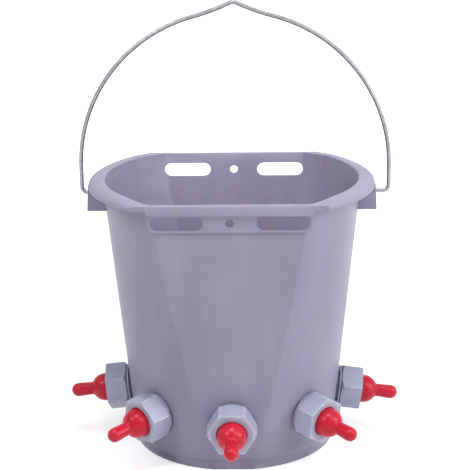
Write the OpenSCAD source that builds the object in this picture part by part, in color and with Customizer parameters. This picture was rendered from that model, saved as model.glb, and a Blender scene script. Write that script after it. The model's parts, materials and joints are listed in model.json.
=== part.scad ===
// Milk bucket that feeds five lambs at once through rubber teats.
// It hangs by its slotted rim or is carried by its wire bail.
// Each teat is clamped by a union nut on a threaded spigot that goes through the wall.
// Front is -Y, up is +Z, and the origin is the middle of the foot on the ground.

/* [Bucket] */
// Radius of the round foot
base_radius = 95.5; // [90:0.5:101]
// Height of the rim above the ground
rim_height = 256.5; // [240:0.5:280]
// Half width of the body at the rim, over the outer wall
rim_half_width = 121.5; // [117:0.5:126]
// Radius of the two round ends at the rim
rim_arc_radius = 145; // [141:0.5:150]
// Half width of a flat side at the foot
flat_foot_half_width = 19; // [12:0.5:26]
// Half width of a flat side at the rim
flat_rim_half_width = 72.5; // [71.5:0.1:76]
// How far the edges of a flat side bow outwards at half height
flat_bow = 2; // [0.5:0.1:3]
// Thickness of the moulded wall
wall = 2.5; // [2:0.1:3.2]
// Thickness of the floor
floor_thickness = 3; // [2:0.1:5]
// Height of the straight foot below the tapered wall
foot_height = 9; // [7:0.5:14]
// Width of the ring that the bucket stands on
foot_width = 8; // [5:0.5:14]
// Depth of the hollow under the floor
foot_recess = 3; // [1.5:0.1:5]

/* [Lip] */
// Reach of the rolled lip beyond the wall at the round ends
lip_reach = 13; // [11.5:0.1:15]
// Height of the lip's crest above the rest of the rim
lip_rise = 2.6; // [1.5:0.1:4]
// Height of the lip from its crest to its lower edge
lip_height = 7.4; // [6.5:0.1:9]
// Height of the rounded shoulder of the lip
lip_drop = 5.3; // [4:0.1:6]
// Distance of the crest from the inner face of the wall
crest_inset = 4; // [3:0.1:6]
// Thickness of the lip shell
lip_wall = 2; // [1.6:0.1:2.4]

/* [Hanging band] */
// Length of a hanging slot, end to end
slot_length = 46.4; // [38:0.2:46.6]
// Height of a hanging slot
slot_height = 13.5; // [11:0.1:14]
// Distance between the middles of the two slots
slot_spacing = 93.8; // [86:0.2:94]
// Depth of the slot centre line below the rim
slot_depth = 16.5; // [15.5:0.1:17.5]
// Radius of the nail hole between the slots
nail_hole_radius = 3.9; // [2.5:0.1:5]
// Thickness of the slotted plate
plate_thickness = 2.6; // [2:0.1:3]
// How far the plate stands out from the flat side at the rim
plate_proud = 1.1; // [0.6:0.1:2]
// Depth of the lower edge of the plate below the rim
plate_depth = 24.9; // [24.5:0.1:28]
// Radius of the lower corners of the plate
plate_corner = 6; // [3:0.5:8]
// How far the strip above the slots stands out from the plate
strip_proud = 3; // [1:0.1:4]

/* [Lugs] */
// Half depth of a box lug, front to back
lug_half_depth = 16; // [12:0.5:20]
// Depth of the lower edge of a lug below the rim
lug_depth = 28.5; // [24:0.5:36]
// How far the lower edge of a lug stands out beyond the lip
lug_proud = 1.4; // [1.2:0.1:3]
// How far the outer face of a lug leans in towards its top
lug_draft = 1.3; // [0.5:0.1:2]
// Thickness of the lug walls
lug_wall = 2.5; // [2:0.1:3.5]

/* [Bail] */
// Radius of the bail wire
wire_radius = 2; // [1.5:0.1:2.4]
// Radial play of the wire in a lug
bail_play = 0.08; // [0.03:0.01:0.1]
// Depth of the bail pivot below the rim
pivot_depth = 13.5; // [10:0.1:18]
// Distance from a lug to the middle of a bail leg
leg_gap = 8.9; // [8.5:0.1:14]
// How far the wire has slid to the right in its lugs
bail_shift = 3; // [0:0.1:3.5]
// Height of the bail's arc centre above its pivot
arc_rise = 24.5; // [16:0.5:40]
// Lean of the wire where the round arch turns into a hollow flank, in degrees
arch_lean = 15; // [12:0.5:17]
// Lean of the hollow flank at the peak, in degrees
peak_lean = 25; // [22:0.5:30]
// Radius of the peak
peak_radius = 5; // [4:0.5:10]
// Radius of the bends at the ends of the legs
bend_radius = 5; // [4:0.5:5.5]
// Length of a wire end inside a lug
wire_end = 6.2; // [5:0.1:7]

/* [Teat fittings] */
// Height at which each fitting's axis leaves the wall, from left to right
seat_heights = [49, 49.5, 49.5, 49.5, 46.5]; // [40:0.5:58]
// Outer radius of the threaded spigot
spigot_radius = 15; // [13.8:0.1:16]
// Radius of the milk passage in the spigot
spigot_bore = 11; // [7:0.1:11.5]
// Radius of the spigot's flange inside the bucket
flange_radius = 21; // [19:0.5:24]
// Thickness of the spigot's flange
flange_thickness = 3; // [2:0.1:5]
// Radius of the gasket under the flange
gasket_radius = 20; // [18:0.5:23]
// Thickness of the gasket at its middle
gasket_thickness = 3.2; // [3:0.1:5]
// Radius of the lock ring outside the wall
ring_radius = 19.8; // [18:0.1:21]
// Thickness of the lock ring
ring_thickness = 3; // [2:0.1:4]
// Gap between the lock ring and a tight nut
nut_gap = 0.9; // [0.4:0.1:2]
// Size of the union nut across its flats
nut_flats = 40; // [38:0.2:44]
// Length of the union nut
nut_length = 20.8; // [18:0.1:24]
// Thickness of the nut's front, which holds the teat
nut_front = 3; // [2:0.1:4]
// Length of the chamfer at the wall side of the nut
nut_chamfer = 2.6; // [1:0.1:4]
// Turn of each tight nut about its axis, in degrees, from left to right
nut_turns = [36, 13, 0, 30, 55]; // [0:1:60]
// Droop of each fitting below square to the wall, in degrees, from left to right
droops = [0.8, 0.4, 2.6, 0.4, 1.8]; // [0:0.1:3]

/* [Teats] */
// Radius of the teat's bulb
bulb_radius = 13.5; // [11.5:0.1:13.8]
// Distance of the bulb's centre beyond the nut
bulb_rise = 0.95; // [0.4:0.05:3]
// Radius of the nipple at its tip
nipple_radius = 6.6; // [5:0.1:8]
// Radius of the nipple next to the bulb
neck_radius = 6.15; // [5:0.05:7]
// Reach of the teat beyond the nut
teat_reach = 34.5; // [28:0.5:40]
// Radius of the hollow where the nipple leaves the bulb
neck_fillet = 3.5; // [2:0.1:6]
// Thickness of the teat's clamped flange
teat_flange = 2.6; // [2:0.1:4]
// Thickness of the rubber
teat_wall = 2.2; // [1.5:0.1:3]
// Radius of the milk hole in the tip
milk_hole_radius = 0.9; // [0.5:0.1:1.5]

/* [Clearances] */
// Gap between faces that seat on each other
seat_gap = 0.1; // [0.05:0.01:0.15]
// Play of the spigot in the wall
hole_play = 0.4; // [0.2:0.1:0.8]
// Play of the lock ring and the gasket on the spigot
ring_play = 0.15; // [0.1:0.05:0.3]
// Play of the nut on the spigot and of the teat in the nut
thread_play = 0.4; // [0.3:0.05:0.6]

/* [Hidden] */
places = ["left", "left_front", "front", "right_front", "right"];
place_angles = [-90, -45, 0, 45, 90];

// Smoothness of round faces and of the lofted body
$fn = 96;
loft_sides = 96;
lip_steps = 8;
// How far every cut runs past the face that it opens
overrun = 1;

grey = [0.58, 0.57, 0.66];
light_grey = [0.64, 0.66, 0.76];
red = [0.80, 0.10, 0.16];
black = [0.16, 0.16, 0.17];
zinc = [0.68, 0.69, 0.70];

// Body, by share of its height from the ground to the rim
loft_shares = [0.25, 0.5, 0.75];
rim_shift = rim_arc_radius - rim_half_width;
floor_top = foot_recess + floor_thickness;
span = 2 * rim_half_width + 2 * lip_reach + 2 * rim_height;

// Radius of the round ends, and how far their centre lies past the middle
function round_at(share) = base_radius + (rim_arc_radius - base_radius) * share;
function shift_at(share) = rim_shift * share;

// Half width of a flat side, and its distance from the middle
function flat_width_at(share) = flat_foot_half_width
    + (flat_rim_half_width - flat_foot_half_width) * share
    + 4 * flat_bow * share * (1 - share);
function flat_reach_at(share) = flat_width_at(share) + shift_at(share);
function flat_at(share) = sqrt(pow(round_at(share), 2) - pow(flat_reach_at(share), 2));

base_flat = flat_at(0);
rim_flat = flat_at(1);

// Lip
lip_radius = rim_arc_radius + lip_reach;
crest_radius = rim_arc_radius - wall + crest_inset;
crest_z = rim_height + lip_rise;
lip_bottom = crest_z - lip_height;
lip_sweep = 60;

// Hanging band
slot_z = rim_height - slot_depth;
plate_out = rim_flat + plate_proud;
plate_in = plate_out - plate_thickness;
plate_bottom = rim_height - plate_depth;
plate_half_width = flat_rim_half_width;
strip_out = plate_out + strip_proud;
strip_gap = 0.2;
strip_bottom = slot_z + slot_height / 2 + strip_gap;
strip_overlap = 1;
recess_margin = 1.9;
ledge_margin = 0.6;
ledge_z = slot_z - slot_height / 2 - ledge_margin;

// Lugs
lug_out = rim_half_width + lip_reach + lug_proud;
lug_top_out = lug_out - lug_draft;
lug_face = lug_top_out - lug_wall;
lug_in = rim_half_width - 2 * wall;
lug_bottom = rim_height - lug_depth;
lug_top = lip_bottom + lip_wall / 2;

// Bail
pivot_z = rim_height - pivot_depth;
arc_radius = lug_out + leg_gap;
arc_z = pivot_z + arc_rise;
wire_end_x = lug_face - wire_end;
lean_step = sin(peak_lean) - sin(arch_lean);
flank_radius = (arc_radius * sin(arch_lean) - peak_radius * sin(peak_lean)) / lean_step;
flank_x = (arc_radius + flank_radius) * sin(arch_lean);
flank_z = arc_z + (arc_radius + flank_radius) * cos(arch_lean);
peak_z = flank_z - (flank_radius + peak_radius) * cos(peak_lean);
// The flanks are a trace thicker than the bends and lap over their ends
flank_swell = 0.05;
flank_lap = 0.4;
lap_angle = flank_lap / flank_radius * 180 / PI;

// Teat fittings, measured outwards from the wall along the axis
front_slope = (flat_at(loft_shares[0]) - base_flat) / (loft_shares[0] * rim_height);
gasket_back = -(wall + gasket_thickness);
flange_end = gasket_back - flange_thickness;
nut_back = seat_gap + ring_thickness + nut_gap;
nut_face = nut_back + nut_length;
flange_front = nut_face - nut_front - seat_gap;
flange_back = flange_front - teat_flange;
spigot_end = flange_back - seat_gap;
bulb_center = nut_face + bulb_rise;
tip_center = nut_face + teat_reach - nipple_radius;

function is_front(i) = place_angles[i] == 0;

// Point where the axis of fitting i leaves the outer wall
function front_point(height) = [0, -(base_flat + front_slope * height), height];
function round_point(angle, height, share) = [
    sign(angle) * (round_at(share) * abs(sin(angle)) - shift_at(share)),
    -round_at(share) * cos(angle),
    height
];
function seat_point(i) = is_front(i)
    ? front_point(seat_heights[i])
    : round_point(place_angles[i], seat_heights[i], seat_heights[i] / rim_height);

// Lean of the wall at fitting i
function seat_lean(i) = is_front(i)
    ? atan(front_slope)
    : atan((rim_arc_radius - base_radius - rim_shift * abs(sin(place_angles[i]))) / rim_height);

// Places a shape whose axis is Z so that Z points out of the wall at fitting i
module at_place(i) {
    translate(seat_point(i))
        rotate([90 + seat_lean(i) + droops[i], 0, place_angles[i]])
            translate([0, 0, ring_radius * sin(droops[i])])
                children();
}

module tube(outer, inner, bottom, top) {
    difference() {
        translate([0, 0, bottom]) cylinder(r = outer, h = top - bottom);
        translate([0, 0, bottom - overrun]) cylinder(r = inner, h = top - bottom + 2 * overrun);
    }
}

module base_outline(inset) {
    intersection() {
        circle(base_radius - inset, $fn = loft_sides);
        square([2 * base_radius, 2 * (base_flat - inset)], center = true);
    }
}

module rim_outline(inset) {
    intersection() {
        translate([-rim_shift, 0]) circle(rim_arc_radius - inset, $fn = loft_sides);
        translate([rim_shift, 0]) circle(rim_arc_radius - inset, $fn = loft_sides);
        square([2 * rim_half_width, 2 * (rim_flat - inset)], center = true);
    }
}

// Thin bar that reaches the two flat sides at one height
module flat_bar(flat, radius, shift) {
    half_width = sqrt(pow(radius, 2) - pow(flat, 2)) - shift;
    translate([-half_width, -flat, 0]) cube([2 * half_width, 2 * flat, overrun]);
}

// Body between the foot outline and the rim outline, drawn in by inset
module loft(inset) {
    hull() {
        translate([0, 0, -overrun]) linear_extrude(overrun) base_outline(inset);
        translate([0, 0, rim_height]) linear_extrude(overrun) rim_outline(inset);
        for (share = loft_shares)
            translate([0, 0, share * rim_height])
                flat_bar(flat_at(share) - inset, round_at(share) - inset, shift_at(share));
    }
}

module layer(bottom, top) {
    translate([-span / 2, -span / 2, bottom]) cube([span, span, top - bottom]);
}

module body_block() {
    linear_extrude(foot_height + overrun) base_outline(0);
    intersection() {
        loft(0);
        layer(foot_height, rim_height);
    }
}

module cavity() {
    intersection() {
        loft(wall);
        layer(floor_top, rim_height + overrun);
    }
    rotate([90, 0, 0])
        linear_extrude(2 * plate_in, center = true)
            plate_outline(plate_half_width - recess_margin, ledge_z, rim_height + overrun);
}

// Quarter of an ellipse from the crest of the lip to its side, drawn in by inset
function lip_curve(inset) = [
    for (step = [0 : lip_steps])
        [
            crest_radius + (lip_radius - crest_radius - inset) * sin(90 * step / lip_steps),
            crest_z - inset - (lip_drop - inset) * (1 - cos(90 * step / lip_steps))
        ]
];

// Quarter of an ellipse from the inner face of the wall up to the crest
inner_curve = [
    for (step = [0 : lip_steps - 1])
        [
            crest_radius - crest_inset * cos(90 * step / lip_steps),
            rim_height + lip_rise * sin(90 * step / lip_steps)
        ]
];

function reversed(list) = [for (k = [len(list) - 1 : -1 : 0]) list[k]];

module lip_profile() {
    polygon(concat(
        inner_curve,
        lip_curve(0),
        [[lip_radius, lip_bottom], [lip_radius - lip_wall, lip_bottom]],
        reversed(lip_curve(lip_wall)),
        [[rim_arc_radius, rim_height - lip_wall], [rim_arc_radius - wall, rim_height - lip_wall]]
    ));
}

// Rolled lip of one round end, cut off flush with the strip
module lip() {
    intersection() {
        translate([-rim_shift, 0, 0])
            rotate([0, 0, -lip_sweep])
                rotate_extrude(angle = 2 * lip_sweep) lip_profile();
        translate([0, -strip_out, 0]) cube([span, 2 * strip_out, span]);
    }
}

// Skirts that close the cut ends of the lip in line with the strip
module lip_ends() {
    intersection() {
        translate([-rim_shift, 0, 0])
            rotate([0, 0, -lip_sweep])
                rotate_extrude(angle = 2 * lip_sweep)
                    polygon(concat(
                        lip_curve(lip_wall / 2),
                        [[lip_radius - lip_wall / 2, lip_bottom], [crest_radius, lip_bottom]]
                    ));
        for (side = [0, 1])
            mirror([0, side, 0])
                translate([plate_half_width, strip_out - lip_wall, 0])
                    cube([span, lip_wall, span]);
    }
}

// Slotted plate seen from the front, or the hollow behind it, with round lower corners
module plate_outline(half_width, bottom, top) {
    corner_x = half_width - plate_corner;
    corner_z = bottom + plate_corner;
    translate([-half_width, corner_z]) square([2 * half_width, top - corner_z]);
    translate([-corner_x, bottom]) square([2 * corner_x, plate_corner]);
    for (side = [-1, 1])
        translate([side * corner_x, corner_z]) circle(plate_corner);
}

// Slotted plate and the strip above it, on the front
module band() {
    translate([0, -(plate_in - wall), 0])
        rotate([90, 0, 0])
            linear_extrude(plate_thickness + wall)
                plate_outline(plate_half_width, plate_bottom, rim_height);
    translate([-(plate_half_width + strip_overlap), -strip_out, strip_bottom])
        cube([
            2 * (plate_half_width + strip_overlap),
            strip_out - plate_in + wall,
            rim_height - strip_bottom
        ]);
}

module slot_outline() {
    run = slot_length - slot_height;
    square([run, slot_height], center = true);
    for (side = [-1, 1])
        translate([side * run / 2, 0]) circle(d = slot_height);
}

module band_cuts() {
    translate([0, -(plate_in - overrun), slot_z])
        rotate([90, 0, 0])
            linear_extrude(plate_thickness + strip_proud + 2 * overrun) {
                for (side = [-1, 1])
                    translate([side * slot_spacing / 2, 0]) slot_outline();
                circle(nail_hole_radius);
            }
}

// Box lug under the lip, open below, with the hole for the bail in its outer wall
module lug() {
    difference() {
        rotate([90, 0, 0])
            linear_extrude(2 * lug_half_depth, center = true)
                polygon(concat(
                    [[lug_in, lug_bottom], [lug_out, lug_bottom], [lug_top_out, lug_top]],
                    [for (point = reversed(lip_curve(lip_wall / 2))) point - [rim_shift, 0]],
                    [[lug_in, rim_height]]
                ));
        translate([lug_in - overrun, -(lug_half_depth - lug_wall), lug_bottom - overrun])
            cube([
                lug_face - lug_in + overrun,
                2 * (lug_half_depth - lug_wall),
                crest_z - lug_bottom + 2 * overrun
            ]);
        translate([lug_face - overrun, 0, pivot_z])
            rotate([0, 90, 0])
                cylinder(r = wire_radius + bail_play, h = lug_out - lug_face + 2 * overrun);
    }
}

module bucket() {
    color(grey)
        difference() {
            union() {
                body_block();
                for (side = [0, 1]) {
                    mirror([side, 0, 0]) lip();
                    mirror([side, 0, 0]) lip_ends();
                    mirror([side, 0, 0]) lug();
                    mirror([0, side, 0]) band();
                }
            }
            cavity();
            translate([0, 0, -overrun])
                cylinder(r = base_radius - foot_width, h = foot_recess + overrun);
            for (side = [0, 1])
                mirror([0, side, 0]) band_cuts();
            for (i = [0 : len(places) - 1])
                at_place(i)
                    translate([0, 0, gasket_back])
                        cylinder(r = spigot_radius + hole_play, h = overrun - gasket_back);
        }
}

// Right half of the bail, from the end in the lug to the top of its hollow flank
module bail_half() {
    translate([wire_end_x, 0, pivot_z])
        rotate([0, 90, 0])
            cylinder(r = wire_radius, h = arc_radius - bend_radius - wire_end_x);
    translate([arc_radius - bend_radius, 0, pivot_z + bend_radius])
        rotate([90, 0, 0])
            rotate([0, 0, -90])
                rotate_extrude(angle = 90) translate([bend_radius, 0]) circle(wire_radius);
    translate([arc_radius, 0, pivot_z + bend_radius])
        cylinder(r = wire_radius, h = arc_rise - bend_radius);
    translate([0, 0, arc_z])
        rotate([90, 0, 0])
            rotate_extrude(angle = 90 - arch_lean) translate([arc_radius, 0]) circle(wire_radius);
    translate([flank_x, 0, flank_z])
        rotate([90, 0, 0])
            rotate([0, 0, 270 - peak_lean - lap_angle])
                rotate_extrude(angle = peak_lean - arch_lean + 2 * lap_angle)
                    translate([flank_radius, 0]) circle(wire_radius + flank_swell);
}

module bail_handle() {
    color(zinc)
        translate([bail_shift, 0, 0]) {
            for (side = [0, 1])
                mirror([side, 0, 0]) bail_half();
            translate([0, 0, peak_z])
                rotate([90, 0, 0])
                    rotate([0, 0, 90 - peak_lean])
                        rotate_extrude(angle = 2 * peak_lean)
                            translate([peak_radius, 0]) circle(wire_radius);
        }
}

// Threaded tube through the wall with its flange inside the bucket
module spigot(i) {
    color(light_grey)
        at_place(i)
            difference() {
                union() {
                    translate([0, 0, gasket_back])
                        cylinder(r = spigot_radius, h = spigot_end - gasket_back);
                    translate([0, 0, flange_end])
                        cylinder(r = flange_radius, h = flange_thickness);
                }
                translate([0, 0, flange_end - overrun])
                    cylinder(r = spigot_bore, h = spigot_end - flange_end + 2 * overrun);
            }
}

// Rubber seal, flat on the flange and shaped to the wall on its other side
module gasket(i) {
    color(black)
        intersection() {
            at_place(i)
                tube(gasket_radius, spigot_radius + ring_play, gasket_back + seat_gap, 0);
            loft(wall + seat_gap);
        }
}

module lock_ring(i) {
    color(light_grey)
        at_place(i)
            tube(ring_radius, spigot_radius + ring_play, seat_gap, seat_gap + ring_thickness);
}

// Hexagon nut, its corners turned off on the wall side, with a rim in front that holds the teat
module union_nut(i) {
    flat_radius = nut_flats / 2;
    corner_radius = flat_radius / cos(30);
    cone_radius = flat_radius + (corner_radius - flat_radius) * nut_length / nut_chamfer;
    color(light_grey)
        at_place(i)
            rotate([0, 0, nut_turns[i]])
                difference() {
                    intersection() {
                        translate([0, 0, nut_back])
                            cylinder(r = corner_radius, h = nut_length, $fn = 6);
                        translate([0, 0, nut_back])
                            cylinder(r1 = flat_radius, r2 = cone_radius, h = nut_length);
                    }
                    translate([0, 0, nut_back - overrun])
                        cylinder(r = spigot_radius + thread_play, h = nut_length - nut_front + overrun);
                    translate([0, 0, nut_back])
                        cylinder(r = bulb_radius + thread_play, h = nut_length + overrun);
                }
}

// Half section of a teat from its flange to its tip, drawn in by inset
module teat_section(inset) {
    bulb = bulb_radius - inset;
    nipple = nipple_radius - inset;
    neck = neck_radius - inset;
    fillet = neck_fillet + inset;
    rise = sqrt(pow(bulb + fillet, 2) - pow(neck + fillet, 2));
    intersection() {
        union() {
            translate([0, flange_back]) square([bulb, bulb_center - flange_back]);
            translate([0, bulb_center]) circle(bulb);
            polygon([
                [0, bulb_center],
                [neck, bulb_center],
                [neck, bulb_center + rise],
                [nipple, tip_center],
                [0, tip_center]
            ]);
            translate([0, tip_center]) circle(nipple);
            translate([0, bulb_center])
                difference() {
                    polygon([
                        [0, 0],
                        [(neck + fillet) * bulb / (bulb + fillet), rise * bulb / (bulb + fillet)],
                        [neck + fillet, rise],
                        [0, rise]
                    ]);
                    translate([neck + fillet, rise]) circle(fillet);
                }
        }
        translate([0, flange_back]) square([bulb, tip_center + nipple - flange_back]);
    }
}

// Hollow rubber teat with a flange that the nut presses on the spigot
module teat(i) {
    color(red)
        at_place(i)
            difference() {
                rotate_extrude() {
                    translate([0, flange_back]) square([spigot_radius, teat_flange]);
                    teat_section(0);
                }
                rotate_extrude() teat_section(teat_wall);
                translate([0, 0, flange_back - overrun])
                    cylinder(r = bulb_radius - teat_wall, h = 2 * overrun);
                translate([0, 0, tip_center])
                    cylinder(r = milk_hole_radius, h = nipple_radius + overrun);
            }
}

bucket();
bail_handle();
for (i = [0 : len(places) - 1]) {
    spigot(i);
    gasket(i);
    lock_ring(i);
    union_nut(i);
    teat(i);
}
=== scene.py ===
import json
import math

import bmesh
import bpy
from mathutils import Matrix, Vector

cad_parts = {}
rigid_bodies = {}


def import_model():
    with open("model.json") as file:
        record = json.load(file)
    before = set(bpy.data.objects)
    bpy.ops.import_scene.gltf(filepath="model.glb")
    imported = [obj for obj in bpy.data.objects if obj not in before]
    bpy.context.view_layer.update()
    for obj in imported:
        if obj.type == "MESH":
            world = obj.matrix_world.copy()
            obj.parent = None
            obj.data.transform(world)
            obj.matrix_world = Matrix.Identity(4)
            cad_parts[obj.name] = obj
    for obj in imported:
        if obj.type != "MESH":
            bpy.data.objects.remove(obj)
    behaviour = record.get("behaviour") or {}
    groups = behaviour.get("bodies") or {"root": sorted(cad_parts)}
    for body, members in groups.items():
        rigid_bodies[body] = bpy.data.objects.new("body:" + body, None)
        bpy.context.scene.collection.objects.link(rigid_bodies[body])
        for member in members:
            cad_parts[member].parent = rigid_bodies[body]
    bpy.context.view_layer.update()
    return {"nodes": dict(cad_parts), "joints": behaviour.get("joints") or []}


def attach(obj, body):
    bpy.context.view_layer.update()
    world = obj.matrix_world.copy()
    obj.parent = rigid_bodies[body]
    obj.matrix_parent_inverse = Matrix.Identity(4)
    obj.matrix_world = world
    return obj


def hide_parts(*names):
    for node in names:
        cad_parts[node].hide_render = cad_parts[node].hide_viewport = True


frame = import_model()
mm = 0.001
weldGap = 1e-7
roundShare = 0.3  # how far the middle step of a rounded edge stands in
fullTurn = 2 * math.pi
places = ["left", "left_front", "front", "right_front", "right"]
print("frame loaded with", len(frame["nodes"]), "solids")


# hand tools: choosing, lofting, turning, cutting

def clearAll():
    if bpy.context.mode != "OBJECT":
        bpy.ops.object.mode_set(mode="OBJECT")
    bpy.ops.object.select_all(action="DESELECT")


def choose(piece):
    clearAll()
    piece.select_set(True)
    bpy.context.view_layer.objects.active = piece


def layRing(piece, points):
    mesh = bmesh.from_edit_mesh(piece.data)
    corners = [corner for corner in mesh.verts if corner.select]
    for corner, point in zip(corners, points):
        corner.co = [value * mm for value in point]
    bmesh.update_edit_mesh(piece.data)


def faceOutwards(piece):
    bpy.ops.mesh.select_all(action="SELECT")
    bpy.ops.mesh.remove_doubles(threshold=weldGap)
    bpy.ops.mesh.normals_make_consistent(inside=False)
    bpy.ops.object.mode_set(mode="OBJECT")


def startPiece(name, corners, fill):
    clearAll()
    bpy.ops.mesh.primitive_circle_add(vertices=corners, fill_type=fill)
    piece = bpy.context.object
    piece.name = piece.data.name = name
    bpy.ops.object.mode_set(mode="EDIT")
    return piece


def pull(name, rings):  # a filled outline, extruded from ring to ring
    piece = startPiece(name, len(rings[0]), "NGON")
    layRing(piece, rings[0])
    for ring in rings[1:]:
        bpy.ops.mesh.extrude_region_move()
        layRing(piece, ring)
    faceOutwards(piece)
    return piece


def turnSection(name, section, steps):  # a closed half section (radius, reach), spun about Z
    piece = startPiece(name, len(section), "NOTHING")
    layRing(piece, [(radius, 0, reach) for radius, reach in section])
    bpy.ops.mesh.spin(steps=steps, angle=fullTurn, center=(0, 0, 0), axis=(0, 0, 1))
    faceOutwards(piece)
    return piece


def applyTool(piece, kind, **settings):
    choose(piece)
    tool = piece.modifiers.new(kind.lower(), kind)
    for key, value in settings.items():
        setattr(tool, key, value)
    bpy.ops.object.modifier_apply(modifier=tool.name)


def carve(piece, other, operation):
    applyTool(piece, "BOOLEAN", object=other, operation=operation, solver="EXACT")
    bpy.data.objects.remove(other)


def twin(piece, name):  # a copy with a mesh of its own
    choose(piece)
    bpy.ops.object.duplicate(linked=False)
    copy = bpy.context.object
    copy.name = copy.data.name = name
    return copy


def settle(piece, matrix):  # moves a piece and leaves its place in the mesh
    choose(piece)
    piece.matrix_world = matrix
    bpy.ops.object.transform_apply(location=True, rotation=True, scale=True)
    return piece


def halfTurn(piece, name):
    return settle(twin(piece, name), Matrix.Rotation(math.pi, 4, "Z"))


def smoothFaces(piece, degrees):
    choose(piece)
    bpy.ops.object.shade_smooth_by_angle(angle=math.radians(degrees))


def keepSpot(piece):  # remembers where each point lay before the piece was fitted
    spots = piece.data.attributes.new("spot", "FLOAT_VECTOR", "POINT")
    for spot, corner in zip(spots.data, piece.data.vertices):
        spot.vector = corner.co


def arc(middleX, middleY, radiusX, radiusY, first, last, steps):
    angles = [math.radians(first + (last - first) * k / steps) for k in range(steps + 1)]
    return [(middleX + radiusX * math.cos(a), middleY + radiusY * math.sin(a)) for a in angles]


def circle(radius, sides, middleY=0):
    return arc(0, middleY, radius, radius, 0, 360 - 360 / sides, sides - 1)


def easy(share):  # a soft step from 0 to 1
    share = max(0.0, min(1.0, share))
    return share * share * (3 - 2 * share)


# places of the five fittings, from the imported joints: Z out of the wall, X along it, Y up

def fittingPlace(place):
    joint = next(j for j in frame["joints"] if j["name"] == f"nut_{place}_turn")
    out = Vector(joint["axis"]).normalized()
    along = Vector((0, 0, 1)).cross(out).normalized()
    up = out.cross(along)
    turned = Matrix((along, up, out)).transposed().to_4x4()
    return Matrix.Translation(Vector(joint["pos_m"])) @ turned


# bucket

bucketShape = dict(
    baseRadius=95.5, rimHeight=256.5, rimArcRadius=145, rimShift=23.5,
    flatFoot=19, flatRim=72.5, flatBow=2, wall=2.5, creaseSoftness=2,
    floorTop=6, footHeight=9, footInner=87.5, footRecess=3, footRound=0.8, discs=(20, 60), rimSoft=0.6,
    footBand=(1.2, 0.4), footGroove=[(0, 0.9), (0.2, 0.3), (0.8, 0)],  # drops; rises with insets
    floorCurve=[(4, 0), (1.6, 0.6), (0.5, 1.8), (0, 4.5)],
    arcSteps=36, creaseSteps=5, flatSteps=10, firstRing=6, lastRing=4, ringGap=8,
    lipReach=13, lipRise=2.6, lipDrop=5.3, crestInset=4, lipWall=2, lipBottom=251.7, lipSteps=10,
    lipBend=1.5, lipBendAt=0.8, lipBendEnd=98, lipFit=0.06, lipShoulder=(1.3, 0.08),
    lipHem=[(0, 0.6), (0.2, 0.16), (0.6, 0)], lipRoot=[(1.3, 0.6), (2.9, 1.3), (3.7, 1.3)],
    lipSweep=58, lipStep=2, lipFadeFrom=35, lipFadeTo=50, lipLeast=0.04, lipCutGap=0.05,
    endLift=0.06, endGap=0.12, tuck=1,
    slotZ=240, slotLength=46.4, slotHeight=13.5, slotMiddle=46.9, nailHole=3.9,
    slotSteps=14, nailSides=24, slotInner=105.8, slotBack=[(-3, 0.45), (0, 0.45), (0.35, 0.12), (0.7, 0)],
    plateOut=109.77, plateBack=104.67, plateBottom=231.6, plateCorner=6, cornerSteps=8, plateTuck=2,
    stripOut=112.77, stripHalf=73.5, stripBottom=246.95,
    bandSoft=1.0, plateSoft=0.25, stripSoft=0.9, cutPast=0.6,
    trimGap=0.03, trimTop=8, edgeHalf=70.6, edgeCurve=[(-0.7, -0.05), (-0.2, 0.2), (0.05, 0.75), (8, 0.75)],
    lugOut=135.9, lugTopOut=134.6, lugFace=132.1, lugHalf=16, lugBottom=228, lugWall=2.5, lugTop=252.7,
    lugIn=117.3, lugTopIn=120.2, lugSoft=0.9, lugBevel=40, hollowIn=110, hollowPast=5, hollowTop=275,
    pivotZ=243, pivotHole=2.08, pivotCut=(131, 138),
    spigotHole=15.4, spigotCut=(-12, 4), rodSides=48, smooth=32,
)


def roundAt(share):
    b = bucketShape
    return b["baseRadius"] + (b["rimArcRadius"] - b["baseRadius"]) * share


def shiftAt(share):
    return bucketShape["rimShift"] * share


def flatAt(share):
    b = bucketShape
    half = b["flatFoot"] + (b["flatRim"] - b["flatFoot"]) * share + 4 * b["flatBow"] * share * (1 - share)
    return math.sqrt(roundAt(share) ** 2 - (half + shiftAt(share)) ** 2)


def bodyOutline(share, inset, z):
    b = bucketShape
    radius, shift, flat = roundAt(share) - inset, shiftAt(share), flatAt(share) - inset
    corner = math.asin(flat / radius)
    tip = Vector((radius * math.cos(corner) - shift, flat))
    arcEnd = corner - b["creaseSoftness"] / radius
    quarter = [Vector(p) for p in arc(-shift, 0, radius, radius, 0, math.degrees(arcEnd), b["arcSteps"])]
    first, last = quarter[-1], Vector((tip.x - b["creaseSoftness"], flat))
    for k in range(1, b["creaseSteps"] + 1):
        s = k / b["creaseSteps"]
        quarter.append(first * (1 - s) ** 2 + tip * 2 * s * (1 - s) + last * s * s)
    for k in range(1, b["flatSteps"] + 1):
        quarter.append(Vector((last.x * (1 - k / b["flatSteps"]), flat)))
    ring = [(p.x, p.y) for p in quarter]
    ring += [(-p.x, p.y) for p in reversed(quarter[:-1])]
    ring += [(-p.x, -p.y) for p in quarter[1:]]
    ring += [(p.x, -p.y) for p in reversed(quarter[1:-1])]
    return [(x, y, z) for x, y in ring]


def roundOutline(radius, z):
    ring = bodyOutline(0, 0, z)
    return [(x * radius / math.hypot(x, y), y * radius / math.hypot(x, y), z) for x, y, z in ring]


def bodyAt(z, inset):
    return bodyOutline(z / bucketShape["rimHeight"], inset, z)


def bodyLevels():
    b = bucketShape
    start = b["footHeight"] + b["firstRing"]
    count = int((b["rimHeight"] - start + b["lastRing"]) / b["ringGap"])
    return [start + b["ringGap"] * k for k in range(count)]


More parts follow.
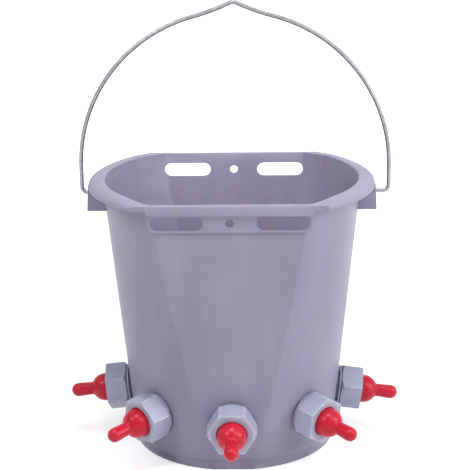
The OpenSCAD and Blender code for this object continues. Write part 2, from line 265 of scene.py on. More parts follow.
def makeBody():
    b = bucketShape
    rim, wall, foot, floor = b["rimHeight"], b["wall"], b["footHeight"], b["floorTop"]
    levels, edge = bodyLevels(), b["rimSoft"]
    recess, inner, soft = b["footRecess"], b["footInner"], b["footRound"]
    rings = [roundOutline(radius, recess) for radius in b["discs"]]
    rings += [roundOutline(inner - soft, recess), roundOutline(inner, recess - soft)]
    rings += [roundOutline(inner, soft / 2), roundOutline(inner + soft / 2, 0)]
    rings += [bodyOutline(0, soft, 0), bodyOutline(0, soft * roundShare, soft * roundShare)]
    rings.append(bodyOutline(0, 0, soft))
    rings += [bodyOutline(0, 0, foot - drop) for drop in b["footBand"]]
    rings += [bodyAt(foot + rise, inset) for rise, inset in b["footGroove"]]
    rings += [bodyAt(z, 0) for z in levels]
    rings += [bodyAt(rim - edge, 0), bodyOutline(1, edge, rim)]
    rings += [bodyOutline(1, wall - edge, rim), bodyAt(rim - edge, wall)]
    rings += [bodyAt(z, wall) for z in reversed(levels)]
    rings += [bodyAt(floor + rise, wall + inset) for rise, inset in b["floorCurve"]]
    rings += [roundOutline(radius, floor) for radius in reversed(b["discs"])]
    return pull("bucketBody", rings)


def lipCurve(inset, steps):
    b = bucketShape
    crest = b["rimArcRadius"] - b["wall"] + b["crestInset"]
    reach = b["rimArcRadius"] + b["lipReach"] - crest
    top = b["rimHeight"] + b["lipRise"]
    return arc(crest, top - b["lipDrop"], reach - inset, b["lipDrop"] - inset, 90, 0, steps)


def lipSection(rise):  # half section at one place; rise is 1 on the round end and 0 at its ends
    b = bucketShape
    rim, wall, low, bend = b["rimHeight"], b["lipWall"], b["lipBottom"], b["lipBend"]
    crest = b["rimArcRadius"] - b["wall"] + b["crestInset"]
    face = crest - b["crestInset"] + b["lipFit"]
    inner = [(face, rim)] + arc(face + bend, rim + b["lipBendAt"], bend, bend, 180, b["lipBendEnd"], 6)
    inner.append((crest - b["lipShoulder"][0], rim + b["lipRise"] - b["lipShoulder"][1]))
    outer, under = lipCurve(0, b["lipSteps"]), lipCurve(wall, b["lipSteps"])
    drops = [(1 - rise) * max(0, z - rim) for _, z in outer]
    edge = outer[-1][0]
    section = [(r, rim + (z - rim) * rise) for r, z in inner]
    section += [(r, z - drop) for (r, z), drop in zip(outer, drops)]
    section += [(edge - x, low + z) for x, z in b["lipHem"]]
    section += [(edge - wall + x, low + z) for x, z in reversed(b["lipHem"])]
    section += [(r, z - drop) for (r, z), drop in reversed(list(zip(under, drops)))]
    section += [(crest - x, rim - z) for x, z in b["lipRoot"]]
    return section


def makeLip():
    b = bucketShape
    rings = []
    for k in range(int(2 * b["lipSweep"] / b["lipStep"]) + 1):
        angle = -b["lipSweep"] + b["lipStep"] * k
        rise = 1 - easy((abs(angle) - b["lipFadeFrom"]) / (b["lipFadeTo"] - b["lipFadeFrom"]))
        c, s = math.cos(math.radians(angle)), math.sin(math.radians(angle))
        rings.append([(r * c - b["rimShift"], r * s, z) for r, z in lipSection(max(rise, b["lipLeast"]))])
    lip = pull("lip", rings)
    for side in (-1, 1):  # the ends are flush with the strip
        choose(lip)
        bpy.ops.object.mode_set(mode="EDIT")
        bpy.ops.mesh.select_all(action="SELECT")
        bpy.ops.mesh.bisect(
            plane_co=(0, side * (b["stripOut"] - b["lipCutGap"]) * mm, 0), plane_no=(0, side, 0),
            clear_outer=True, use_fill=True)
        faceOutwards(lip)
    return lip


def makeLipEnd(side):  # closes the cut end of the lip in line with the strip
    b = bucketShape
    wall, low, out = b["lipWall"], b["lipBottom"] + b["endLift"], b["stripOut"] - b["endGap"]
    top = b["rimHeight"] - b["tuck"]
    outline = [(b["flatRim"], low)]
    for r, z in reversed(lipCurve(wall / 2, 12)):
        x = math.sqrt(r * r - out * out) - b["rimShift"]
        if x > b["flatRim"]:
            outline += [(x, low)] if len(outline) == 1 else []
            outline.append((x, min(z, top)))
    outline.append((b["flatRim"], top))
    return pull("lipEnd", [[(x, side * y, z) for x, z in outline] for y in (out - wall, out)])


def makeLug():
    b = bucketShape
    face, low, half, wall = b["lugFace"], b["lugBottom"], b["lugHalf"], b["lugWall"]
    section = [(b["lugIn"], low), (b["lugOut"], low), (b["lugTopOut"], b["lugTop"])]
    section += [(r - b["rimShift"], z) for r, z in reversed(lipCurve(b["lipWall"] / 2, 8))]
    section.append((b["lugTopIn"], b["rimHeight"] - b["tuck"]))
    lug = pull("lug", [[(x, y, z) for x, z in section] for y in (-half, half)])
    applyTool(lug, "BEVEL", width=b["lugSoft"] * mm, segments=3, limit_method="ANGLE",
              angle_limit=math.radians(b["lugBevel"]))
    ends = (b["hollowIn"], face)
    hollow = [(ends[0], -half + wall), (ends[1], -half + wall), (ends[1], half - wall), (ends[0], half - wall)]
    rings = [[(x, y, z) for x, y in hollow] for z in (low - b["hollowPast"], b["hollowTop"])]
    carve(lug, pull("lugHollow", rings), "DIFFERENCE")
    return lug


def plateOutline(inset):
    b = bucketShape
    half, low, top = b["flatRim"] - inset, b["plateBottom"] + inset, b["rimHeight"] - b["plateTuck"]
    r, steps = b["plateCorner"] - inset, b["cornerSteps"]
    corners = arc(-half + r, low + r, r, r, 180, 270, steps) + arc(half - r, low + r, r, r, 270, 360, steps)
    return corners + [(half, top), (-half, top)]


def stripOutline(inset):
    b = bucketShape
    half, low, top = b["stripHalf"] - inset, b["stripBottom"] + inset, b["rimHeight"] - inset
    return [(-half, low), (half, low), (half, top), (-half, top)]


def slotOutline(middle, spread):  # spreads to the ends and down, never into the strip
    b = bucketShape
    r, run = (b["slotHeight"] + spread) / 2, (b["slotLength"] - b["slotHeight"]) / 2
    z, steps = b["slotZ"] - spread / 2, b["slotSteps"]
    return arc(middle - run, z, r, r, 90, 270, steps) + arc(middle + run, z, r, r, -90, 90, steps)


def nailOutline(spread):
    b = bucketShape
    return circle(b["nailHole"] + spread, b["nailSides"], b["slotZ"])


def frontRings(outline, depths):  # outlines that look forward, at each depth
    return [[(x, -y, z) for x, z in outline(inset)] for y, inset in depths]


def softEdge(out, soft):  # depths and insets of a rounded front edge
    return [(out - soft, 0), (out - roundShare * soft, roundShare * soft), (out, soft)]


def makeBand():
    b = bucketShape
    back = [(b["plateBack"], 0)]
    band = pull("band", frontRings(plateOutline, back + softEdge(b["plateOut"], b["plateSoft"])))
    strip = pull("strip", frontRings(stripOutline, back + softEdge(b["stripOut"], b["stripSoft"])))
    carve(band, strip, "UNION")
    return band


def bandCutters():
    b = bucketShape
    out, soft = b["plateOut"], b["bandSoft"]
    depths = [(b["slotInner"] + step, spread) for step, spread in b["slotBack"]]
    depths += softEdge(out, soft) + [(out + b["cutPast"], soft)]
    cutters = [
        pull("slotCut", frontRings(lambda spread: slotOutline(side * b["slotMiddle"], spread), depths))
        for side in (-1, 1)
    ]
    cutters.append(pull("nailCut", frontRings(nailOutline, depths)))
    return cutters


def innerTrim():  # brings the band flush with the inner wall and softens its top edge
    b = bucketShape
    rim, half, wall = b["rimHeight"], b["edgeHalf"], b["wall"] + b["trimGap"]
    rings = [bodyAt(z, wall) for z in bodyLevels()[-3:] + [rim - b["rimSoft"]]]
    flush = pull("flush", rings + [bodyOutline(1, wall, rim + b["trimTop"])])
    rings = []
    for rise, spread in b["edgeCurve"]:
        wide, z = flatAt(1) - b["wall"] + spread, rim + rise
        rings.append([(-half, -wide, z), (half, -wide, z), (half, wide, z), (-half, wide, z)])
    return [flush, pull("flushEdge", rings)]


def rodCutter(name, radius, ends):
    return pull(name, [[(x, y, z) for x, y in circle(radius, bucketShape["rodSides"])] for z in ends])


bucket = makeBody()
print("bucket body:", len(bucket.data.polygons), "faces")

# gasket seats are found on the plain body, before its holes are cut
gasketShape = dict(
    inner=15.15, outer=20, back=-5.6, front=-3.1, slitSoft=0.3, backSoft=0.5, bulge=0.25, frontSteps=5, steps=72,
    gap=0.25, sideGap=0.1, heel=0.4, frontBand=0.1,
)


def makeGasket():
    g = gasketShape
    wide, slim, low, high, steps = g["outer"], g["inner"], g["back"], g["front"], g["frontSteps"]
    section = [(slim, low + g["slitSoft"]), (slim + g["slitSoft"], low)]
    section += [(wide - g["backSoft"], low), (wide, low + g["backSoft"])]
    section += [(wide + g["bulge"], (low + high) / 2), (wide, high)]
    section += [(wide + (slim - wide) * k / steps, high) for k in range(1, steps + 1)]
    return turnSection("gasket", section, g["steps"])


def seatGasket(gasket, place):  # shapes the front and the rim to the wall
    g = gasketShape
    matrix = fittingPlace(place)
    inverse = matrix.inverted()
    out = matrix.to_3x3() @ Vector((0, 0, 1))
    for corner in gasket.data.vertices:
        if corner.co.z < (g["back"] + g["heel"]) * mm:
            continue
        start = matrix @ Vector((corner.co.x, corner.co.y, g["back"] * mm))
        found, spot, _, _ = bucket.ray_cast(start, out)
        if found:
            seat = (inverse @ spot).z - g["gap"] * mm
            onFront = corner.co.z > (g["front"] - g["frontBand"]) * mm
            corner.co.z = seat if onFront else min(corner.co.z, seat - g["sideGap"] * mm)
    return settle(gasket, matrix)


gasketModel = makeGasket()
gaskets = {place: seatGasket(twin(gasketModel, "gasket_" + place + "_seal"), place) for place in places}
bpy.data.objects.remove(gasketModel)
print("gaskets seated:", len(gaskets))

for part in (makeLip(), makeLipEnd(-1), makeLipEnd(1), makeLug(), makeBand()):
    carve(bucket, halfTurn(part, part.name + "Other"), "UNION")
    carve(bucket, part, "UNION")
for cutter in innerTrim():
    carve(bucket, cutter, "DIFFERENCE")
for cutter in bandCutters():
    carve(bucket, halfTurn(cutter, cutter.name + "Other"), "DIFFERENCE")
    carve(bucket, cutter, "DIFFERENCE")
for place in places:
    hole = rodCutter("spigotCut", bucketShape["spigotHole"], bucketShape["spigotCut"])
    carve(bucket, settle(hole, fittingPlace(place)), "DIFFERENCE")
for side in (-1, 1):
    pivot = rodCutter("pivotCut", bucketShape["pivotHole"], [side * end for end in bucketShape["pivotCut"]])
    reach = Matrix.Translation((0, 0, bucketShape["pivotZ"] * mm)) @ Matrix.Rotation(math.pi / 2, 4, "Y")
    carve(bucket, settle(pivot, reach), "DIFFERENCE")
smoothFaces(bucket, bucketShape["smooth"])
print("bucket finished:", len(bucket.data.polygons), "faces")


# bail wire

bailShape = dict(
    wire=2, shift=3, pinEnd=125.9, leg=144.8, pivotZ=243, bend=5, arcZ=267.5,
    archLean=15, peakLean=25, flankX=93.36, flankZ=615.86, flankRadius=215.9, peakZ=415.7, peak=5,
    pinStep=1.2, pinSteps=11, legStep=2.4, legSteps=5, sides=24, chamfer=0.4, smooth=40,
)


def bailPath():
    w = bailShape
    leg, bend, flank = w["leg"], w["bend"], w["flankRadius"]
    half = [(w["pinEnd"] + k * w["pinStep"], w["pivotZ"]) for k in range(w["pinSteps"])]
    half += arc(leg - bend, w["pivotZ"] + bend, bend, bend, -90, 0, 12)
    half += [(leg, w["pivotZ"] + bend + k * w["legStep"]) for k in range(1, w["legSteps"] + 1)]
    half += arc(0, w["arcZ"], leg, leg, 0, 90 - w["archLean"], 70)
    half += arc(w["flankX"], w["flankZ"], flank, flank, 270 - w["archLean"], 270 - w["peakLean"], 14)[1:]
    half += arc(0, w["peakZ"], w["peak"], w["peak"], 90 - w["peakLean"], 90, 6)[1:]
    whole = half + [(-x, z) for x, z in reversed(half[:-1])]
    return [Vector((x + w["shift"], 0, z)) for x, z in whole]


def makeBail():
    w = bailShape
    path, soft = bailPath(), w["chamfer"]
    last = len(path) - 1
    ends = {0: [(-soft, 0), (0, soft)], last: [(0, -soft), (-soft, 0)]}  # growth and step along the wire
    rings = []
    for k, point in enumerate(path):
        along = (path[min(k + 1, last)] - path[max(k - 1, 0)]).normalized()
        side = Vector((0, 1, 0))
        up = along.cross(side)
        for grow, step in ends.get(k, [(0, 0)]):
            rings.append([
                tuple(point + along * step + (side * y + up * x))
                for x, y in circle(w["wire"] + grow, w["sides"])
            ])
    return pull("bailWire", rings)


bail = makeBail()
smoothFaces(bail, bailShape["smooth"])
print("bail bent:", len(bail.data.polygons), "faces")


# teats

teatShape = dict(
    flange=15, flangeBack=17.1, flangeFront=19.7, bulb=13.5, bulbAt=25.75,
    neck=6.15, tip=6.6, tipAt=52.7, fillet=3.5, skin=2.2, milkHole=0.45,
    flangeSoft=0.4, root=0.3, nippleSteps=8, steps=72, smooth=35,
)


def teatCurve(inset):
    t = teatShape
    bulb, neck, tip = t["bulb"] - inset, t["neck"] - inset, t["tip"] - inset
    fillet, steps = t["fillet"] + inset, t["nippleSteps"]
    rise = math.sqrt((bulb + fillet) ** 2 - (neck + fillet) ** 2)
    lean = math.degrees(math.atan2(rise, neck + fillet))
    curve = arc(0, t["bulbAt"], bulb, bulb, 0, lean, 14)
    curve += arc(neck + fillet, t["bulbAt"] + rise, fillet, fillet, 180 + lean, 180, 7)[1:]
    first = t["bulbAt"] + rise
    for k in range(1, steps + 1):
        curve.append((neck + (tip - neck) * easy(k / steps), first + (t["tipAt"] - first) * k / steps))
    hole = math.degrees(math.acos(t["milkHole"] / tip))
    return curve + arc(0, t["tipAt"], tip, tip, 0, hole, 10)[1:]


def makeTeat():
    t = teatShape
    outer, inner = teatCurve(0), teatCurve(t["skin"])
    low, high, wide = t["flangeBack"], t["flangeFront"], t["flange"]
    bulb, soft, root = t["bulb"], t["flangeSoft"], t["root"]
    section = [(bulb - t["skin"], low), (wide - soft, low), (wide, low + soft)]
    section += [(wide, high - soft), (wide - soft, high), (bulb + root, high), (bulb, high + root)]
    return turnSection("teat", section + outer + list(reversed(inner)), t["steps"])


# union nuts, lock rings and spigots, with threads that stay in step as a nut turns

nutShape = dict(
    flats=40, back=2.6, face=22.8, rear=2.6, edge=0.7, bore=15.4, boreEnd=19.8, hole=13.9,
    bevelFrom=30, coneDip=0.2, coneReach=6, conePast=2, coneCore=1, coneSteps=144,
    boreCore=0.5, borePast=1, boreLead=[(1.3, -1), (0.6, 0), (0, 0.6)], boreSteps=96,
    holeLip=[(0, -0.7), (0.2, -0.2), (0.7, 0), (0.7, 1)], smooth=28,
    turns=dict(left=36, left_front=13, front=0, right_front=30, right=40),
)
threadShape = dict(
    pitch=3, steps=48, spigotRoot=14.25, spigotCrest=15.0, nutCrest=14.6,
    spigotStart=0.95, spigotTurns=5, nutStart=5.45, nutTurns=3,
    flank=0.75, land=0.25, sink=0.4, fade=10, runOut=0.3,
)


def windThread(name, root, crest, start, turns):
    t = threadShape
    sunk = root + (t["sink"] if root > crest else -t["sink"])
    section = [(sunk, start - t["flank"]), (root, start - t["flank"]), (crest, start - t["land"]),
               (crest, start + t["land"]), (root, start + t["flank"]), (sunk, start + t["flank"])]
    thread = startPiece(name, len(section), "NOTHING")
    layRing(thread, [(radius, 0, reach) for radius, reach in section])
    bpy.ops.object.mode_set(mode="OBJECT")
    applyTool(thread, "SCREW", axis="Z", angle=fullTurn, screw_offset=t["pitch"] * mm, iterations=turns,
              steps=t["steps"], render_steps=t["steps"], use_smooth_shade=False)
    last = t["steps"] * turns
    for index, corner in enumerate(thread.data.vertices):  # the ridge runs out at both ends
        step = index // len(section)
        fade = easy(min(step, last - step) / t["fade"])
        radius = math.hypot(corner.co.x, corner.co.y)
        faded = sunk * mm + (radius - sunk * mm) * (t["runOut"] + (1 - t["runOut"]) * fade)
        corner.co.x *= faded / radius
        corner.co.y *= faded / radius
    choose(thread)
    bpy.ops.object.mode_set(mode="EDIT")
    bpy.ops.mesh.select_all(action="SELECT")
    bpy.ops.mesh.fill_holes(sides=len(section))
    faceOutwards(thread)
    return thread


def makeNut():
    n, t = nutShape, threadShape
    half, back, face = n["flats"] / 2, n["back"], n["face"]
    corner = half / math.cos(math.pi / 6)
    nut = pull("nut", [[(x, y, z) for x, y in circle(corner, 6)] for z in (back, face)])
    applyTool(nut, "BEVEL", width=n["edge"] * mm, segments=3, limit_method="ANGLE",
              angle_limit=math.radians(n["bevelFrom"]))
    slope = (corner - half) / n["rear"]
    wide, dip, reach, past = half + slope * n["coneReach"], n["coneDip"], n["coneReach"], n["conePast"]
    cone = [(n["coneCore"], back - dip), (half - slope * dip, back - dip), (wide, back + reach)]
    cone += [(wide, face + past), (n["coneCore"], face + past)]
    carve(nut, turnSection("nutCone", cone, n["coneSteps"]), "INTERSECT")
    bore = [(n["boreCore"], back - n["borePast"])]
    bore += [(n["bore"] + x, back + z) for x, z in n["boreLead"]]
    bore += [(n["bore"], n["boreEnd"]), (n["hole"], n["boreEnd"])]
    bore += [(n["hole"] + x, face + z) for x, z in n["holeLip"]]
    bore.append((n["boreCore"], face + n["borePast"]))
    carve(nut, turnSection("nutBore", bore, n["boreSteps"]), "DIFFERENCE")
    carve(nut, windThread("nutThread", n["bore"], t["nutCrest"], t["nutStart"], t["nutTurns"]), "UNION")
    return nut


ringShape = dict(inner=15.15, outer=19.8, back=0.4, front=2.0, soft=0.4, slitSoft=0.2, steps=96, smooth=32)


def makeLockRing():
    r = ringShape
    slim, wide, low, high = r["inner"], r["outer"], r["back"], r["front"]
    soft, slit = r["soft"], r["slitSoft"]
    section = [(slim, low + slit), (slim + slit, low)]
    section += arc(wide - soft, low + soft, soft, soft, 270, 360, 4)
    section += arc(wide - soft, high - soft, soft, soft, 0, 90, 4)
    section += [(slim + slit, high), (slim, high - slit)]
    return turnSection("lockRing", section, r["steps"])


spigotShape = dict(
    bore=11, end=17.0, flange=21, flangeBack=-8.7, flangeFront=-5.7, shank=15, shankEnd=-0.6, rootAt=0.1,
    backSoft=0.8, frontSoft=0.3, boreSoft=0.5, endSoft=0.5, endBoreSoft=0.4, steps=96, smooth=28,
)


def makeSpigot():
    s, t = spigotShape, threadShape
    root, low, high, end = t["spigotRoot"], s["flangeBack"], s["flangeFront"], s["end"]
    bore, wide, soft, front = s["bore"], s["flange"], s["backSoft"], s["frontSoft"]
    section = [(bore, low + s["boreSoft"]), (bore + s["boreSoft"], low)]
    section += arc(wide - soft, low + soft, soft, soft, 270, 360, 4)
    section += [(wide, high - front), (wide - front, high), (s["shank"], high)]
    section += [(s["shank"], s["shankEnd"]), (root, s["rootAt"])]
    section += [(root, end - s["endSoft"]), (root - s["endSoft"], end)]
    section += [(bore + s["endBoreSoft"], end), (bore, end - s["endBoreSoft"])]
    spigot = turnSection("spigot", section, s["steps"])
    thread = windThread("spigotThread", root, t["spigotCrest"], t["spigotStart"], t["spigotTurns"])
    carve(spigot, thread, "UNION")
    return spigot


makers = dict(
    teat=(makeTeat, teatShape), nut=(makeNut, nutShape),
    ring=(makeLockRing, ringShape), spigot=(makeSpigot, spigotShape),
)
fittings = {}
for word, (maker, shape) in makers.items():
    model = maker()
    smoothFaces(model, shape["smooth"])
    keepSpot(model)
    for place in places:
        copy = twin(model, word + "_" + place + "_piece")
        turn = Matrix.Rotation(math.radians(nutShape["turns"][place]), 4, "Z")
        fittings[word, place] = settle(copy, fittingPlace(place) @ turn)
    print(word, "made:", len(model.data.polygons), "faces")
    bpy.data.objects.remove(model)


# finishes

class Tap:  # one socket of a material, so that its sums are written plainly
    def __init__(self, tree, socket=None):
        self.tree = tree
        self.socket = socket

    def make(self, kind, settings=None, inputs=None, out=0):
        node = self.tree.nodes.new("ShaderNode" + kind)
        for key, value in (settings or {}).items():
            setattr(node, key, value)
        for key, value in (inputs or {}).items():
            if isinstance(value, Tap):
                self.tree.links.new(value.socket, node.inputs[key])
            else:
                node.inputs[key].default_value = value
        return Tap(self.tree, node.outputs[out])

    def sum(self, kind, first, second, clamp=False):
        return self.make("Math", {"operation": kind, "use_clamp": clamp}, {0: first, 1: second})

    def __add__(self, other):
        return self.sum("ADD", self, other)

    def __radd__(self, other):
        return self.sum("ADD", other, self)

    def __sub__(self, other):
        return self.sum("SUBTRACT", self, other)

    def __rsub__(self, other):
        return self.sum("SUBTRACT", other, self)

    def __mul__(self, other):
        return self.sum("MULTIPLY", self, other)

    def band(self, low, high):  # 0 below low, 1 above high
        return self.make("MapRange", {"interpolation_type": "SMOOTHSTEP"}, {0: self, 1: low, 2: high})

    def noise(self, scale, detail=2, rough=0.5):
        settings = {"Vector": self, "Scale": scale, "Detail": detail, "Roughness": rough}
        return self.make("TexNoise", {}, settings)

    def stretched(self, scale):
        return self.make("Mapping", {"vector_type": "POINT"}, {"Vector": self, "Scale": scale})

    def axis(self, which):
        return self.make("SeparateXYZ", {}, {0: self}, out=which)

    def blend(self, first, second):  # colours, by this share
        return self.make("Mix", {"data_type": "RGBA"}, {0: self, 6: first, 7: second}, out=2)


def newFinish(name, **fixed):
    material = bpy.data.materials.new(name)
    material.use_nodes = True
    shader = material.node_tree.nodes["Principled BSDF"]
    for key, value in fixed.items():
        shader.inputs[key].default_value = value
    return material, shader, Tap(material.node_tree)


def feed(shader, **taps):
    for key, tap in taps.items():
        tap.tree.links.new(tap.socket, shader.inputs[key.replace("_", " ")])


def bumped(height, strength, depth):
    return height.make("Bump", {}, {"Height": height, "Strength": strength, "Distance": depth})


def paint(pieces, material):
    for piece in pieces:
        piece.data.materials.clear()
        piece.data.materials.append(material)


bucketFinish = dict(
    base=(0.352, 0.326, 0.460, 1), shade=(0.330, 0.305, 0.434, 1), pale=(0.380, 0.354, 0.492, 1),
    # scuffAndHighlight: pale colour of real scuffs and of the painted highlight on the lip and rim tops
    scuffAndHighlight=(0.50, 0.48, 0.59, 1), dust=(0.30, 0.28, 0.38, 1),
    scraped=(0.001, 0.0058), lipTop=(0.2572, 0.2591), rimTop=(0.2558, 0.2566), dusty=(0.004, 0.03),  # heights; lipTop and rimTop place the painted highlight on the tops
)


def bucketPlastic():
    f = bucketFinish
    material, shader, tap = newFinish("bucketPlastic", IOR=1.3)
    spot = tap.make("TexCoord", out="Object")
    cloud = spot.noise(9, 3)
    flow = spot.stretched((34, 34, 4)).noise(1, 4, 0.6)  # faint streaks where the plastic ran up the wall
    grain = spot.noise(1400, 2)
    tone = cloud * 0.55 + flow * 0.45
    colour = tone.band(0.34, 0.66).blend(f["shade"], f["pale"])
    colour = grain.band(0.62, 0.74).blend(colour, f["base"])
    height = spot.axis(2)
    low = 1 - height.band(*f["scraped"])
    scratch = spot.stretched((60, 60, 520)).noise(1, 2).band(0.60, 0.70)
    rub = spot.stretched((420, 420, 30)).noise(1, 2).band(0.66, 0.74)
    # painted highlight: the lip top and the rim top are drawn paler in patches, as lit rounded edges
    edge = height.band(*f["lipTop"]) + height.band(*f["rimTop"]) * 0.35
    # real scratches near the foot and rubs on the wall, plus the painted highlight on the tops
    wearAndHighlight = low * scratch * 0.7 + rub * 0.10 + edge * spot.noise(160, 3).band(0.5, 0.7) * 0.35
    colour = wearAndHighlight.blend(colour, f["scuffAndHighlight"])
    dust = (1 - height.band(*f["dusty"])) * spot.noise(70, 4).band(0.45, 0.75) * 0.35
    colour = dust.blend(colour, f["dust"])
    gloss = 0.34 + spot.noise(26, 3) * 0.12 + wearAndHighlight * 0.2
    skin = spot.noise(900, 3) * 0.5 + spot.noise(60, 2) * 2 - wearAndHighlight * 0.8
    feed(shader, Base_Color=colour, Roughness=gloss, Normal=bumped(skin, 0.22, 0.00012))
    return material


# edge is the pale colour of rubbed edges and of the painted highlight on the hex corners and front rim
nutFinish = dict(
    shade=(0.385, 0.403, 0.560, 1), pale=(0.455, 0.473, 0.632, 1), edge=(0.66, 0.68, 0.80, 1),
    corners=(0.02235, 0.02285), face=(0.0222, 0.0226), faceRim=(0.0185, 0.0196),  # radii and reach of the pale corners and front rim: rubbed wear and painted highlight
)


def fittingPlastic():
    f = nutFinish
    material, shader, tap = newFinish("fittingPlastic", IOR=1.5)
    spot = tap.make("TexCoord", out="Object")
    own = tap.make("Attribute", {"attribute_name": "spot"}, out="Vector")
    smear = spot.stretched((90, 90, 150)).noise(1, 4, 0.6)
    cloud = spot.noise(38, 3)
    tone = cloud * 0.5 + smear * 0.5
    colour = tone.band(0.32, 0.68).blend(f["shade"], f["pale"])
    across, up, reach = own.axis(0), own.axis(1), own.axis(2)
    square = across * across + up * up
    radius = square.sum("POWER", square, 0.5)
    # painted highlight, with rubbed wear: the hex corners and the outer rim of the front face are drawn paler
    corners = radius.band(*f["corners"])
    front = reach.band(*f["face"]) * radius.band(*f["faceRim"])
    rubbedAndLit = spot.noise(240, 3).band(0.36, 0.62)
    wearAndHighlight = (corners * 0.55 + front * 0.55) * rubbedAndLit
    scratch = spot.stretched((700, 120, 260)).noise(1, 2).band(0.68, 0.76) * 0.22
    colour = (wearAndHighlight + scratch).blend(colour, f["edge"])
    gloss = 0.26 + cloud * 0.12 + wearAndHighlight * 0.15
    skin = spot.noise(1100, 2) * 0.6 + smear * 1.2
    feed(shader, Base_Color=colour, Roughness=gloss, Normal=bumped(skin, 0.25, 0.0001))
    return material


teatFinish = dict(
    # deep is the darker red of the cloudy tone and also of the painted shade at the waist
    base=(0.690, 0.012, 0.042, 1), deep=(0.570, 0.008, 0.030, 1), bloom=(0.74, 0.04, 0.080, 1),
    waistFrom=(0.034, 0.0385), waistTo=(0.0395, 0.0445),  # reach of the painted shade at the waist
)


def teatRubber():
    f = teatFinish
    material, shader, tap = newFinish("teatRubber", IOR=1.36)
    spot = tap.make("TexCoord", out="Object")
    own = tap.make("Attribute", {"attribute_name": "spot"}, out="Vector")
    reach = own.axis(2)
    cloud = spot.noise(60, 3)
    colour = cloud.band(0.3, 0.7).blend(f["deep"], f["base"])
    bloom = spot.noise(420, 3).band(0.56, 0.80) * 0.14
    colour = bloom.blend(colour, f["bloom"])
    # painted shade: the waist between bulb and nipple is drawn a deeper red, where the fold lies in shade
    waistShade = (reach.band(*f["waistFrom"]) * (1 - reach.band(*f["waistTo"]))) * 0.35
    colour = waistShade.blend(colour, f["deep"])
    gloss = 0.26 + spot.noise(130, 2) * 0.08 + bloom * 0.3
    skin = spot.noise(1500, 2) * 0.5 + spot.noise(260, 2) * 1.0
    feed(shader, Base_Color=colour, Roughness=gloss, Normal=bumped(skin, 0.12, 0.00006))
    return material


wireFinish = dict(zinc=(0.27, 0.27, 0.29, 1), bright=(0.34, 0.34, 0.36, 1), dull=(0.19, 0.19, 0.205, 1))


def galvanisedWire():
    f = wireFinish
    material, shader, tap = newFinish("galvanisedWire", Metallic=0.92)
    spot = tap.make("TexCoord", out="Object")
    spangle = tap.make("TexVoronoi", {"feature": "F1"}, {"Vector": spot, "Scale": 420}, out=1)
    patch = spangle.axis(0)
    cloud = spot.noise(120, 3)
    colour = (patch * 0.5 + cloud * 0.5).band(0.25, 0.75).blend(f["zinc"], f["bright"])
    stain = spot.noise(45, 4).band(0.58, 0.74) * 0.6
    colour = stain.blend(colour, f["dull"])
    gloss = 0.28 + patch * 0.10 + stain * 0.25
    skin = spot.noise(700, 3) + patch * 0.3
    feed(shader, Base_Color=colour, Roughness=gloss, Normal=bumped(skin, 0.15, 0.0001))
    return material


gasketFinish = dict(base=(0.018, 0.018, 0.019, 1), dusty=(0.06, 0.06, 0.062, 1))


def gasketRubber():
    f = gasketFinish
    material, shader, tap = newFinish("gasketRubber", IOR=1.5)
    spot = tap.make("TexCoord", out="Object")
    dust = spot.noise(220, 4).band(0.45, 0.75)
    colour = dust.blend(f["base"], f["dusty"])
    skin = bumped(spot.noise(1300, 2), 0.3, 0.0001)
    feed(shader, Base_Color=colour, Roughness=0.55 + dust * 0.25, Normal=skin)
    return material


paint([bucket], bucketPlastic())
paint([bail], galvanisedWire())
paint([fittings["teat", p] for p in places], teatRubber())
paint([fittings[word, p] for word in ("nut", "ring", "spigot") for p in places], fittingPlastic())
paint(gaskets.values(), gasketRubber())
print("finishes painted")


# each piece rides on its body and stands for its solid

def fitTo(piece, body, node):
    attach(piece, body)
    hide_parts(node)


fitTo(bucket, "bucket_body", "bucket")
fitTo(bail, "bail", "bail_handle")
for place in places:
    fitTo(fittings["teat", place], f"teat_{place}_body", f"teat_{place}")
    fitTo(fittings["nut", place], f"nut_{place}_body", f"union_nut_{place}")
    fitTo(fittings["ring", place], "bucket_body", f"lock_ring_{place}")
    fitTo(fittings["spigot", place], "bucket_body", f"spigot_{place}")
    fitTo(gaskets[place], "bucket_body", f"gasket_{place}")


# floor, light and camera

heart = (0, 0, 0.15)
softBox = (0.9, 0.9)
stageLook = dict(
    floorSize=16, floorDrop=0.0003, floorColour=(0.86, 0.86, 0.87, 1), floorPale=(0.88, 0.88, 0.885, 1),
    floorGlow=1.1, nearGlow=(0.5, 0.5, 0.5, 1), farGlow=(1, 1, 1, 1), glowBand=(0.3, 1.3), ambient=0.15,
    lamps=[  # name, place, aim, size, watts, spread
        ("keyLamp", (2.10, -0.65, 1.00), heart, softBox, 18, 180),
        ("fillLamp", (-1.31, -1.10, 1.85), heart, softBox, 15.5, 180),
        ("frontLamp", (1.31, -1.10, 1.85), heart, softBox, 12.5, 180),
        ("topLamp", (0.05, -0.30, 2.45), heart, softBox, 27, 180),
        ("mouthLamp", (-0.05, -1.12, 0.67), (0.01, 0.105, 0.232), (0.22, 0.05), 0.019, 8),
    ],
)


def cameraRays(tap):  # the eye, mirrors and glass all see the plain white
    kinds = ("Camera", "Glossy", "Transmission")
    eyes, mirrors, glass = [tap.make("LightPath", out=f"Is {kind} Ray") for kind in kinds]
    return tap.sum("ADD", eyes + mirrors, glass, clamp=True)


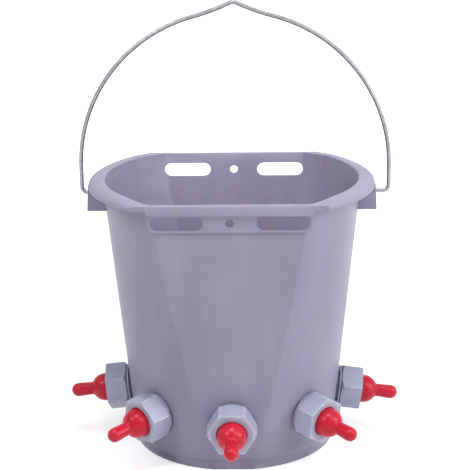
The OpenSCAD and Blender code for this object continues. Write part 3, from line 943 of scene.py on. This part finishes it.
def makeFloor():
    look = stageLook
    clearAll()
    bpy.ops.mesh.primitive_plane_add(size=look["floorSize"], location=(0, 0, -look["floorDrop"]))
    floor = bpy.context.object
    floor.name = "floor"
    bpy.ops.object.transform_apply(location=True, rotation=True, scale=True)
    material, shader, tap = newFinish("floorPaper", Roughness=0.9)
    spot = tap.make("TexCoord", out="Object")
    grain = spot.noise(300, 2)
    shader.inputs["Emission Strength"].default_value = look["floorGlow"]
    colour = grain.band(0.3, 0.7).blend(look["floorColour"], look["floorPale"])
    away = spot.make("VectorMath", {"operation": "LENGTH"}, {0: spot}, out=1)
    white = away.band(*look["glowBand"]).blend(look["nearGlow"], look["farGlow"])
    feed(shader, Base_Color=colour, Emission_Color=cameraRays(tap).blend((0, 0, 0, 1), white))
    paint([floor], material)


def makeWorld():
    world = bpy.data.worlds.new("studio")
    bpy.context.scene.world = world
    world.use_nodes = True
    tree = world.node_tree
    tree.nodes.clear()
    tap = Tap(tree)
    soft = tap.make("Background", {}, {"Color": (1, 1, 1, 1), "Strength": stageLook["ambient"]})
    white = tap.make("Background", {}, {"Color": (1, 1, 1, 1), "Strength": 1})
    mixed = tap.make("MixShader", {}, {0: cameraRays(tap), 1: soft, 2: white})
    output = tree.nodes.new("ShaderNodeOutputWorld")
    tree.links.new(mixed.socket, output.inputs["Surface"])


def makeLamps():
    for name, spot, goal, size, power, spread in stageLook["lamps"]:
        lamp = bpy.data.objects.new(name, bpy.data.lights.new(name, "AREA"))
        bpy.context.scene.collection.objects.link(lamp)
        lamp.data.shape = "RECTANGLE"
        lamp.data.size, lamp.data.size_y = size
        lamp.data.energy = power
        lamp.data.spread = math.radians(spread)
        lamp.location = spot
        aim = Vector(goal) - Vector(spot)
        lamp.rotation_euler = aim.to_track_quat("-Z", "Y").to_euler()


eye = dict(
    target=(2.49, 0, 199.754), distance=1361.7, pitch=15.372, roll=0.655, yaw=-1.1453, lens=109.37, sensor=36,
)


def makeCamera():
    pitch, roll = math.radians(eye["pitch"]), math.radians(eye["roll"])
    ahead = Vector((0, math.cos(pitch), -math.sin(pitch)))
    right = Vector((1, 0, 0))
    down = ahead.cross(right)
    side = right * math.cos(roll) + down * math.sin(roll)
    below = down * math.cos(roll) - right * math.sin(roll)
    spot = (Vector(eye["target"]) - ahead * eye["distance"]) * mm
    turned = Matrix((side, -below, -ahead)).transposed().to_4x4()
    camera = bpy.data.objects.new("camera", bpy.data.cameras.new("camera"))
    bpy.context.scene.collection.objects.link(camera)
    camera.data.lens = eye["lens"]
    camera.data.sensor_width = eye["sensor"]
    aside = Matrix.Rotation(-math.radians(eye["yaw"]), 4, "Z")
    camera.matrix_world = aside @ Matrix.Translation(spot) @ turned
    bpy.context.scene.camera = camera


makeFloor()
makeWorld()
makeLamps()
makeCamera()
bpy.context.scene.view_settings.view_transform = "Standard"
print("stage set")
